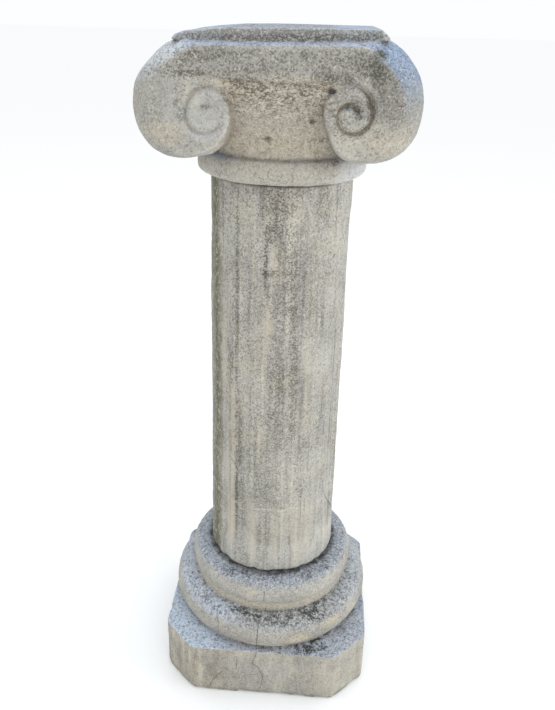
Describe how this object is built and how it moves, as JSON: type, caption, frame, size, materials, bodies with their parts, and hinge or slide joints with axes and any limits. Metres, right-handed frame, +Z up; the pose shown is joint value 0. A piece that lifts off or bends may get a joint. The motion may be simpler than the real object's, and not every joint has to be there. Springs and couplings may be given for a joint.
{
  "type": "ionic column",
  "caption": "Weathered cast-stone garden column with a square plinth, two round base mouldings, a fluted tapering shaft and a capital with rolled volutes under a thin slab.",
  "frame": {"origin": "on the ground, under the middle of the plinth's underside", "axes": "+Z up the column; the two faces with volutes look along -Y (front) and +Y (back); +X to the right seen from the front"},
  "size_m": [0.2906, 0.275, 0.8331],
  "materials": {
    "base_stone": "weathered cast stone, dark lichen and blue-grey bloom on the faces that look up",
    "shaft_stone": "weathered cast stone, sandy grain with dark speckle and grey streaks",
    "capital_stone": "weathered cast stone, sandy grain with dirt in the carving"
  },
  "bodies": {
    "root": {"base": "base_stone", "shaft": "shaft_stone", "capital": "capital_stone"}
  },
  "joints": []
}
